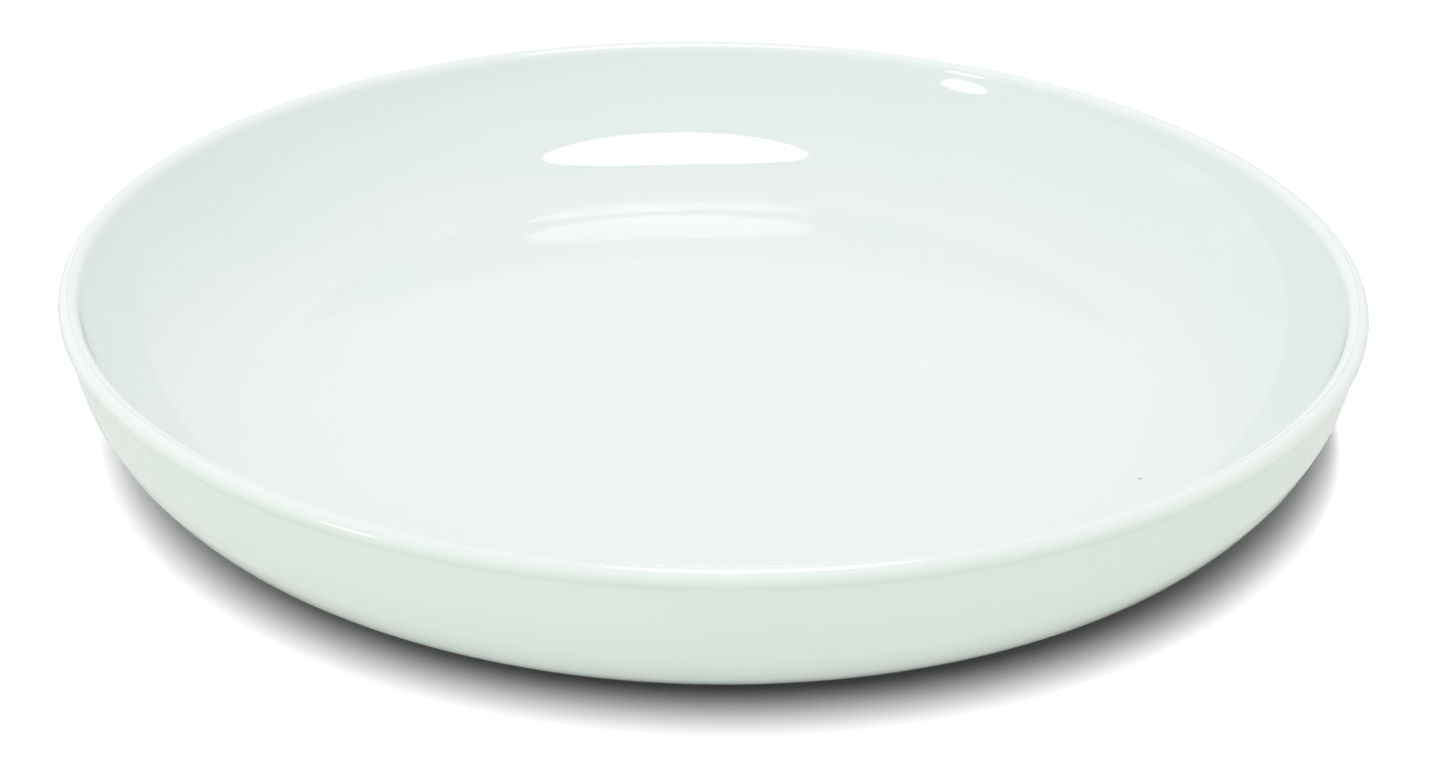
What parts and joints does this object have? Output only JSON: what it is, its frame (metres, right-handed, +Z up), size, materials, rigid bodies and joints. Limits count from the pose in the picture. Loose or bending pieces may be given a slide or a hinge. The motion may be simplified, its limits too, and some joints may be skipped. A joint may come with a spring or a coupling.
{
  "type": "evaporating dish",
  "caption": "Wide, shallow, round glazed porcelain dish with a flared wall, a rounded bead rim and a low foot ring, for evaporating liquids.",
  "frame": {"origin": "centre of the foot ring's resting plane", "axes": "+Z up along the axis of revolution, out of the dish's open side; X and Y are any two perpendicular radii"},
  "size_m": [0.25, 0.25, 0.038],
  "materials": {
    "porcelain": "unglazed fired hard porcelain, matte, fine grain, ground flat on the foot",
    "glaze": "high gloss white feldspar glaze with a faint cool green cast"
  },
  "bodies": {
    "root": {"porcelain_body": "porcelain", "inside_glaze": "glaze", "outside_glaze": "glaze", "recess_glaze": "glaze"}
  },
  "joints": []
}
